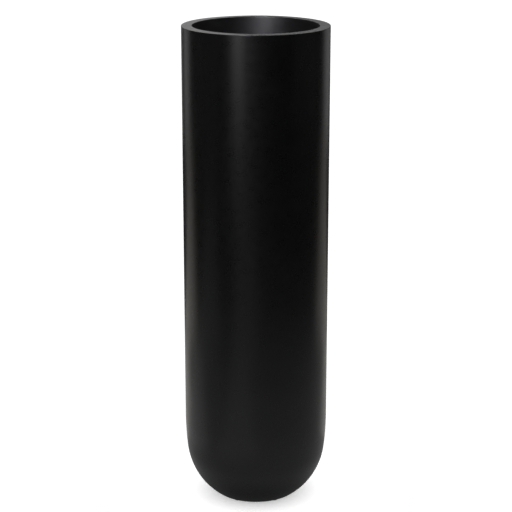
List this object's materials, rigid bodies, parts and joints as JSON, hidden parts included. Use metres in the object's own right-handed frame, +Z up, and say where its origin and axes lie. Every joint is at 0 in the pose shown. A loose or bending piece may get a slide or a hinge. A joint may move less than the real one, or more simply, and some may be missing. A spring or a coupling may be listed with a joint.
{
  "type": "tall planter",
  "caption": "Tall round planter with a flat in-turned rim and a rounded lower end on a small foot, holding a lift-out shelf and a lift-out liner with folding handles.",
  "frame": {"origin": "on the floor, under the centre of the foot", "axes": "+Z up along the planter's axis; the liner's two handles are towards +X and -X"},
  "size_m": [0.3599, 0.36, 1.2],
  "materials": {
    "shell_finish": "satin black paint on glass-fibre laminate",
    "pad_rubber": "matte rubber",
    "stiffener_board": "plywood",
    "ballast_concrete": "cast concrete",
    "bracket_laminate": "raw dark laminate",
    "drain_plastic": "moulded plastic",
    "drain_rubber": "matte rubber",
    "shelf_plastic": "moulded plastic",
    "liner_plastic": "moulded plastic",
    "handle_wire": "plain drawn wire"
  },
  "bodies": {
    "planter": {"outer_shell": "shell_finish", "rim_ring": "shell_finish", "foot_pads": "pad_rubber", "base_stiffener": "stiffener_board", "ballast_ring": "ballast_concrete", "shelf_brackets": "bracket_laminate", "drain_fitting": "drain_plastic", "drain_gasket": "drain_rubber", "drain_nut": "drain_plastic"},
    "plug": {"drain_plug": "drain_rubber"},
    "shelf": {"inner_shelf": "shelf_plastic"},
    "liner": {"planting_liner": "liner_plastic"},
    "right_handle": {"liner_handle_right": "handle_wire"},
    "left_handle": {"liner_handle_left": "handle_wire"}
  },
  "joints": [
    {"name": "plug_draw", "type": "slide", "parent": "planter", "child": "plug", "axis": [0, 0, -1], "range_m": [0, 0.03]},
    {"name": "shelf_lift", "type": "slide", "parent": "planter", "child": "shelf", "axis": [0, 0, 1], "range_m": [0, 0.44]},
    {"name": "liner_lift", "type": "slide", "parent": "shelf", "child": "liner", "axis": [0, 0, 1], "range_m": [0, 0.41]},
    {"name": "right_handle_fold", "type": "hinge", "parent": "liner", "child": "right_handle", "pos_m": [0.104, 0, 1.1408], "axis": [0, -1, 0], "range_deg": [0, 180]},
    {"name": "left_handle_fold", "type": "hinge", "parent": "liner", "child": "left_handle", "pos_m": [-0.104, 0, 1.1408], "axis": [0, 1, 0], "range_deg": [0, 180]}
  ]
}
